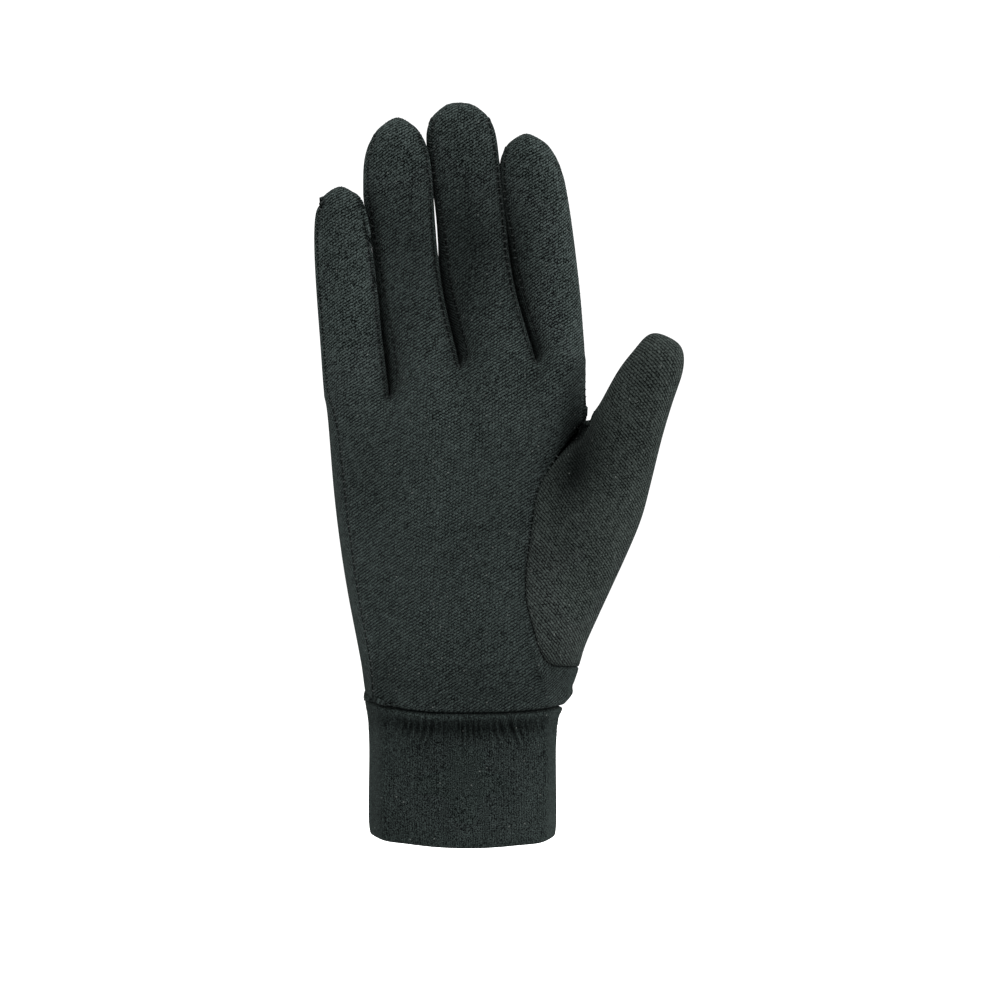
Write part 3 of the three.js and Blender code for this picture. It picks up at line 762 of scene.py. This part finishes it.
# %% Map the cuff
MAP_X, MAP_Y = 0.0300, 0.0180  # the half width and half depth of the ring that the map is measured on
PLEAT_SHADE, LIT_ROLL, PUCKER_SHADE = 0.56, 0.35, 0.55  # painted shade in the pleats, a painted highlight on the roll, and painted light and shade along the puckers
turns = np.linspace(-math.pi, math.pi, 721)
ring_x, ring_y = MAP_X * np.sin(turns), -MAP_Y * np.cos(turns)
ring_reach = np.concatenate([[0], np.cumsum(np.hypot(np.diff(ring_x), np.diff(ring_y)))])


def reach_at(angle):
    whole = np.floor((angle + math.pi) / (2 * math.pi))
    return np.interp(angle - 2 * math.pi * whole, turns, ring_reach) + whole * ring_reach[-1]


layer = cuff.data.uv_layers.active or cuff.data.uv_layers.new(name="UVMap")
angles = np.arctan2(table[:, 0] / MAP_X, -table[:, 1] / MAP_Y)
flat = np.empty((len(cuff.data.loops), 2))
for face in cuff.data.polygons:
    ids = list(face.vertices)
    centre = math.atan2(face.center.x / MAP_X, -face.center.y / MAP_Y)
    turn = angles[ids]
    turn = turn - 2 * math.pi * np.round((turn - centre) / (2 * math.pi))
    sign = 1 if face.normal.x * face.center.x + face.normal.y * face.center.y > 0 else -1
    flat[face.loop_start : face.loop_start + face.loop_total, 0] = reach_at(turn)
    flat[face.loop_start : face.loop_start + face.loop_total, 1] = sign * table[ids, 2]
layer.data.foreach_set("uv", flat.ravel())
# painted shade right under the wrist seam, in the groove above the cuff
store(cuff, "seam_shade", hump(below, 0, 0.7))
# painted highlight on the roll, painted shade in the pleats under it, and painted light and shade along the
# puckers
lit_roll = LIT_ROLL * front_share * hump(below, 1.5, 0.7)
gathered = PLEAT_SHADE * front_share * hump(below, 4.6, 3.2)
store(cuff, "shade", gathered - lit_roll - PUCKER_SHADE * pucker * fade * (0.3 + 0.7 * front_share))
store(cuff, "stretch", 0 * below)
print("cuff: the knit is mapped over", round(ring_reach[-1] / mm, 1), "mm round the wrist")

# %% [markdown]
# ## The stitches
#
# The thread shows as short bars across each seam. One bar is enough to model: a Bezier curve that
# rises a little in the middle, with a round bevel, made a mesh. Each copy is then set across its
# seam, facing out, and all copies are joined.

# %% Model one stitch and copy it
THREAD = 0.2 * mm
STITCH_HALF = 0.75 * mm
END_DEPTH = -0.45 * mm  # the height of the bar's ends, where the thread goes into the cloth
INNER, OUTER = (0.45, -0.2 * mm), (1.3, -0.6 * mm)  # a handle's share of the half length and its height
THREAD_STANDS = 0.16 * mm  # how far the bar lies above the sunken seam

bpy.ops.object.select_all(action="DESELECT")
bpy.ops.curve.primitive_bezier_curve_add(radius=1, location=(0, 0, 0))
bar = bpy.context.active_object
bar.name = "stitch"
ends = bar.data.splines[0].bezier_points
for end, side, left, right in zip(ends, (-1, 1), (OUTER, INNER), (INNER, OUTER)):
    end.co = (side * STITCH_HALF, 0, END_DEPTH)
    end.handle_left_type = end.handle_right_type = "FREE"
    end.handle_left = (side * STITCH_HALF * left[0], 0, left[1])
    end.handle_right = (side * STITCH_HALF * right[0], 0, right[1])
bar.data.resolution_u = 5
bar.data.bevel_depth = THREAD
bar.data.bevel_resolution = 1
bar.data.use_fill_caps = True
bpy.ops.object.convert(target="MESH")
bar = bpy.context.active_object
bar_points = corners(bar)
bar_faces = [tuple(face.vertices) for face in bar.data.polygons]
print("one stitch:", len(bar_faces), "faces")


def sew(name):
    """All the stitches as one mesh."""
    along = unit(stitch_along)
    across = unit(np.cross(stitch_along, stitch_way))
    way = unit(np.cross(across, stitch_along))
    base = stitch_at - stitch_way * (SEAM_SINK - THREAD_STANDS)
    places, faces = [], []
    for i in range(len(base)):
        axes = np.array([across[i], along[i], way[i]])
        faces += [tuple(k + i * len(bar_points) for k in face) for face in bar_faces]
        places.append(base[i] + bar_points @ axes)
    mesh = bpy.data.meshes.new(name)
    mesh.from_pydata(np.vstack(places).tolist(), [], faces)
    piece = bpy.data.objects.new(name, mesh)
    scene.collection.objects.link(piece)
    edit(piece)
    bpy.ops.mesh.select_all(action="SELECT")
    bpy.ops.mesh.normals_make_consistent(inside=False)
    done()
    choose(piece)
    bpy.ops.object.shade_smooth()
    return piece


stitches = sew("seam_stitches")
bpy.data.objects.remove(bar)
print(len(stitch_at), "stitches,", triangles(stitches), "triangles")

# %% [markdown]
# ## The knit
#
# Close up, the cloth is rows of tiny loops. From a little way off, the loops run together into fine
# slanting ribs. One node group makes that pattern from a flat map in metres. It turns the map until
# the ribs run upright, counts ribs across and loops along each rib, with every second rib shifted
# by half a loop, and gives the height of the yarn at each point. A random number for each loop makes
# some a little lighter than others, as real yarn is.


# %% A small helper for node trees
def node(tree, kind, inputs=(), **settings):
    """Adds a node. inputs gives each socket's value, or the output that feeds it."""
    made = tree.nodes.new(kind)
    for name, value in settings.items():
        setattr(made, name, value)
    for name, value in dict(inputs).items():
        if isinstance(value, bpy.types.NodeSocket):
            tree.links.new(value, made.inputs[name])
        else:
            made.inputs[name].default_value = value
    return made


def calc(tree, operation, a, b=None, c=None):
    """One Math node."""
    given = {i: value for i, value in enumerate((a, b, c)) if value is not None}
    return node(tree, "ShaderNodeMath", given, operation=operation).outputs[0]


def centred(tree, value, strength):
    """A value from 0 to 1 made to swing round nought, by the strength."""
    return calc(tree, "MULTIPLY_ADD", value, strength, -strength / 2)


def between(tree, factor, a, b):
    """A colour between two others."""
    inputs = {"Factor": factor, "A": a, "B": b}
    return node(tree, "ShaderNodeMix", inputs, data_type="RGBA").outputs["Result"]


def note(tree, name):
    """An attribute that each corner carries."""
    return node(tree, "ShaderNodeAttribute", attribute_name=name).outputs["Fac"]


def new_material(name):
    material = bpy.data.materials.new(name)
    material.use_nodes = True
    material.node_tree.nodes.clear()
    return material, material.node_tree


def new_group(name, inputs, outputs):
    tree = bpy.data.node_groups.new(name, "ShaderNodeTree")
    for label, kind, value in inputs:
        socket = tree.interface.new_socket(label, in_out="INPUT", socket_type=kind)
        if value is not None:
            socket.default_value = value
    for label, kind in outputs:
        tree.interface.new_socket(label, in_out="OUTPUT", socket_type=kind)
    return tree, tree.nodes.new("NodeGroupInput").outputs, tree.nodes.new("NodeGroupOutput").inputs


# %% The ribs of the knit
SWAY = 4.0  # the whole swing of the ribs from side to side, in ribs, where Wander is 1
RIB_ROUND = 0.8
LOOP_DEPTH = 0.45  # how much lower the yarn lies between two loops
CHANCE, LEAST_CHANCE = 0.35, -0.17  # how much the loops differ in tone, and the darkest of them

knit_group, given, made = new_group(
    "knit ribs",
    [
        ("Map", "NodeSocketVector", None),
        ("Rib", "NodeSocketFloat", 0.86 * mm),
        ("Loop", "NodeSocketFloat", 1.15 * mm),
        ("Slant", "NodeSocketFloat", 0.6),
        ("Wander", "NodeSocketFloat", 0.25),
    ],
    [("Height", "NodeSocketFloat"), ("Tone", "NodeSocketFloat")],
)
t = knit_group
sway = node(t, "ShaderNodeTexNoise", {"Vector": given["Map"], "Scale": 160.0, "Detail": 2.0})
middle_grey = (0.5, 0.5, 0.5)
sway_by = node(t, "ShaderNodeVectorMath", {0: sway.outputs["Color"], 1: middle_grey}, operation="SUBTRACT")
sway_size = calc(t, "MULTIPLY", given["Rib"], given["Wander"])
sway_size = calc(t, "MULTIPLY", sway_size, SWAY)
swayed = node(t, "ShaderNodeVectorMath", {0: sway_by.outputs[0], "Scale": sway_size}, operation="SCALE")
flat_map = node(t, "ShaderNodeVectorMath", {0: given["Map"], 1: swayed.outputs[0]}, operation="ADD")
turning = {"Vector": flat_map.outputs[0], "Angle": given["Slant"]}
turned = node(t, "ShaderNodeVectorRotate", turning, rotation_type="Z_AXIS")
parts = node(t, "ShaderNodeSeparateXYZ", {0: turned.outputs[0]}).outputs
rib_at = calc(t, "DIVIDE", parts["Y"], given["Rib"])
rib_number = calc(t, "FLOOR", rib_at)
half_shift = calc(t, "MULTIPLY", rib_number, 0.5)
loop_at = calc(t, "ADD", calc(t, "DIVIDE", parts["X"], given["Loop"]), half_shift)
loop_number = calc(t, "FLOOR", loop_at)
ridge = calc(t, "ABSOLUTE", calc(t, "SINE", calc(t, "MULTIPLY", rib_at, math.pi)))
bead = calc(t, "ABSOLUTE", calc(t, "SINE", calc(t, "MULTIPLY", loop_at, math.pi)))
bead = calc(t, "MULTIPLY_ADD", bead, LOOP_DEPTH, 1 - LOOP_DEPTH)
yarn = calc(t, "MULTIPLY", calc(t, "POWER", ridge, RIB_ROUND), bead)
t.links.new(yarn, made["Height"])
cell = node(t, "ShaderNodeCombineXYZ", {"X": rib_number, "Y": loop_number})
chance = node(t, "ShaderNodeTexWhiteNoise", {"Vector": cell.outputs[0]}, noise_dimensions="2D")
tone = calc(t, "MULTIPLY_ADD", chance.outputs["Value"], CHANCE, LEAST_CHANCE)
tone = calc(t, "ADD", yarn, tone)
made_tone = node(t, "ShaderNodeClamp", {"Value": tone}).outputs[0]
t.links.new(made_tone, made["Tone"])
print("group:", knit_group.name)

# %% [markdown]
# ## Fibres, patches and lint
#
# Three more effects sit over the ribs. Fine fibres stand off the yarn and break up its edges. The
# dye and the handling leave wide, faint patches. A few pale specks of lint cling to the cloth. Each
# is a mask in one group, and each material decides how strongly it shows.

# %% Fibres, patches and lint
dust_group, given, made = new_group(
    "fibres and lint",
    [("Place", "NodeSocketVector", None), ("Lint", "NodeSocketFloat", 0.3)],
    [("Fibres", "NodeSocketFloat"), ("Patches", "NodeSocketFloat"), ("Specks", "NodeSocketFloat")],
)
t = dust_group
fine = {"Vector": given["Place"], "Scale": 2800.0, "Detail": 1.0, "Roughness": 0.7}
fine = node(t, "ShaderNodeTexNoise", fine)
t.links.new(fine.outputs["Fac"], made["Fibres"])
wide = {"Vector": given["Place"], "Scale": 42.0, "Detail": 3.0, "Roughness": 0.55}
wide = node(t, "ShaderNodeTexNoise", wide)
t.links.new(wide.outputs["Fac"], made["Patches"])
spots = node(t, "ShaderNodeTexVoronoi", {"Vector": given["Place"], "Scale": 420.0}, feature="F1")
speck = {"Value": spots.outputs["Distance"], 1: 0.06, 2: 0.12, 3: 1.0, 4: 0.0}
speck = node(t, "ShaderNodeMapRange", speck)
pick = node(t, "ShaderNodeSeparateColor", {0: spots.outputs["Color"]})
few = calc(t, "LESS_THAN", pick.outputs[0], given["Lint"])
t.links.new(calc(t, "MULTIPLY", speck.outputs[0], few), made["Specks"])
print("group:", dust_group.name)

# %% [markdown]
# ## The cloth's materials
#
# The palm, the back and the strips are cut from one cloth. The thumb is cut on the other slant, and
# the cuff is a closer, smoother knit with upright ribs. So one function makes all three, and only
# the pattern's size, slant and strength differ. The light yarn stands over the dark gaps between the
# ribs, and a little sheen gives the soft, pale edge that fine fibres catch.


# %% Make a knit material
DEEP = (0.0004, 0.0005, 0.0005)  # the gaps between the ribs
LINT_COLOUR, LINT_SHOWS = (0.06, 0.064, 0.06, 1), 0.55
PATCHES_SHOW = 0.5
STRETCH_OPENS = 0.8  # how much more contrast the ribs have where the knit is stretched
PALEST = 0.53  # the share of the way to the pale colour that a plain loop goes
# how strongly the painted shade in the seams' grooves darkens the yarn
SEAM_SHADE_STRENGTH = 0.5


def knit_material(name, pale, rib, loop, slant, contrast, grain, bump):
    material, t = new_material(name)
    flat = node(t, "ShaderNodeUVMap", uv_map="UVMap").outputs[0]
    place = node(t, "ShaderNodeTexCoord").outputs["Object"]
    pattern = {"Map": flat, "Rib": rib, "Loop": loop, "Slant": math.radians(slant)}
    ribs = node(t, "ShaderNodeGroup", pattern, node_tree=knit_group)
    dust = node(t, "ShaderNodeGroup", {"Place": place}, node_tree=dust_group)
    fibres = centred(t, dust.outputs["Fibres"], grain)
    patches = centred(t, dust.outputs["Patches"], PATCHES_SHOW)
    blend = calc(t, "MULTIPLY_ADD", ribs.outputs["Tone"], contrast, (1 - contrast) / 2)
    blend = calc(t, "ADD", calc(t, "ADD", blend, fibres), patches)
    open_up = calc(t, "MULTIPLY_ADD", note(t, "stretch"), STRETCH_OPENS, 1.0)
    blend = calc(t, "MULTIPLY_ADD", calc(t, "SUBTRACT", blend, 0.5), open_up, 0.5)
    blend = calc(t, "MULTIPLY", blend, PALEST)
    blend = node(t, "ShaderNodeClamp", {"Value": blend}).outputs[0]
    # painted shade and painted light: the table's places, the cuff's gathers and the seams' grooves darken
    # or lighten the yarn
    shade = calc(t, "ADD", note(t, "shade"), calc(t, "MULTIPLY", note(t, "seam_shade"), SEAM_SHADE_STRENGTH))
    blend = calc(t, "MULTIPLY", blend, calc(t, "SUBTRACT", 1.0, shade))
    yarn = between(t, blend, (*DEEP, 1), (*pale, 1))
    lint = calc(t, "MULTIPLY", dust.outputs["Specks"], LINT_SHOWS)
    high = calc(t, "MULTIPLY_ADD", dust.outputs["Fibres"], 0.5, ribs.outputs["Height"])
    rough = calc(t, "MULTIPLY_ADD", dust.outputs["Fibres"], 0.2, 0.76)
    shape = node(t, "ShaderNodeBump", {"Height": high, "Strength": bump, "Distance": 0.25 * mm})
    cloth = node(
        t,
        "ShaderNodeBsdfPrincipled",
        {
            "Base Color": between(t, lint, yarn, LINT_COLOUR),
            "Roughness": rough,
            "Normal": shape.outputs[0],
            "Specular IOR Level": 0.0,
            "Sheen Weight": 0.008,
            "Sheen Roughness": 0.5,
            "Sheen Tint": (0.8, 0.9, 0.88, 1),
        },
    )
    out = node(t, "ShaderNodeOutputMaterial", {"Surface": cloth.outputs[0]})
    out.is_active_output = True
    print("material:", name)
    return material


hand_knit = knit_material(
    "hand knit", (0.0216, 0.0276, 0.0262), 0.86 * mm, 1.2 * mm, slant=-33, contrast=1.1, grain=3.6, bump=0.9
)
thumb_knit = knit_material(
    "thumb knit", (0.0226, 0.0276, 0.0254), 0.86 * mm, 1.2 * mm, slant=52, contrast=1.2, grain=3.2, bump=0.9
)
cuff_knit = knit_material(
    "cuff knit", (0.0180, 0.0234, 0.0220), 0.7 * mm, 0.9 * mm, slant=90, contrast=0.4, grain=4.2, bump=0.5
)

# %% [markdown]
# The thread is the same black as the cloth, but smoother and a little shinier, with the twist of its
# plies across it.

# %% Make the thread's material
thread, t = new_material("seam thread")
place = node(t, "ShaderNodeTexCoord").outputs["Object"]
twist = node(t, "ShaderNodeTexNoise", {"Vector": place, "Scale": 5200.0, "Detail": 1.0}).outputs["Fac"]
plies = between(t, twist, (0.004, 0.005, 0.005, 1), (0.019, 0.022, 0.021, 1))
relief = node(t, "ShaderNodeBump", {"Height": twist, "Strength": 0.3, "Distance": 0.05 * mm})
shine = {"Base Color": plies, "Roughness": 0.7, "Normal": relief.outputs[0], "Specular IOR Level": 0.05}
shine = node(t, "ShaderNodeBsdfPrincipled", shine)
node(t, "ShaderNodeOutputMaterial", {"Surface": shine.outputs[0]})
print("material:", thread.name)

# %% [markdown]
# ## Dress the model
#
# Each piece takes its material, hides the CAD part that it stands for, and rides on the glove's
# one body.

# %% Attach the pieces
for name, piece in panels.items():
    piece.data.materials.append(thumb_knit if name == "thumb" else hand_knit)
    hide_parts(name)
    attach(piece, "root")
cuff.data.materials.append(cuff_knit)
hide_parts("cuff")
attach(cuff, "root")
stitches.data.materials.append(thread)
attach(stitches, "root")

# %% [markdown]
# ## Floor, light and camera
#
# The glove is shown on white, as in a shop's catalogue. The floor lies well below it, so that no
# shadow touches the hem. Dark cloth needs a lot of light: two large soft walls of light stand to
# its left and right and a third hangs above it, as in a photographer's light tent, so the sides of
# the fingers are pale and the valleys between them are deep. A white sky lights the rest.

# %% Floor
FLOOR_HEIGHT = -0.09
bpy.ops.object.select_all(action="DESELECT")
bpy.ops.mesh.primitive_plane_add(size=30, location=(0, 0, FLOOR_HEIGHT))
floor = bpy.context.active_object
floor.name = "floor"
paper = bpy.data.materials.new("white paper")
paper.use_nodes = True
white = paper.node_tree.nodes["Principled BSDF"].inputs
white["Base Color"].default_value = (0.9, 0.9, 0.9, 1)
white["Roughness"].default_value = 0.9
floor.data.materials.append(paper)
print("the floor lies at", FLOOR_HEIGHT, "m")


# %% Lights
def soft_light(name, place, target, size, power):
    data = bpy.data.lights.new(name, "AREA")
    data.shape = "SQUARE"
    data.size = size
    data.energy = power
    lamp = bpy.data.objects.new(name, data)
    scene.collection.objects.link(lamp)
    lamp.visible_camera = False
    lamp.location = place
    lamp.rotation_euler = (Vector(target) - Vector(place)).to_track_quat("-Z", "Y").to_euler()
    return lamp


GLOVE_MIDDLE = (0.012, 0, 0.12)
soft_light("left wall of light", (-1.6, -0.25, 0.5), GLOVE_MIDDLE, 2.2, 45)
soft_light("right wall of light", (1.6, -0.25, 0.6), GLOVE_MIDDLE, 2.2, 135)
soft_light("ceiling of light", (0, -0.3, 1.9), GLOVE_MIDDLE, 2.2, 130)
sky = bpy.data.worlds.new("white sky")
sky.use_nodes = True
sky.node_tree.nodes["Background"].inputs["Color"].default_value = (1, 1, 1, 1)
sky.node_tree.nodes["Background"].inputs["Strength"].default_value = 1.15
scene.world = sky
print("lights:", ", ".join(sorted(lamp.name for lamp in bpy.data.lights)))

# %% Camera
camera_data = bpy.data.cameras.new("camera")
camera_data.sensor_width = 36
camera_data.lens = 157.5
camera_data.clip_start = 0.05
camera_data.clip_end = 60
camera = bpy.data.objects.new("camera", camera_data)
scene.collection.objects.link(camera)
camera.location = (0.01184, -1.4, 0.1102)
camera.rotation_euler = (math.radians(90), 0, 0)
scene.camera = camera
scene.view_settings.view_transform = "Standard"
print("the camera stands at", [round(x, 3) for x in camera.location])
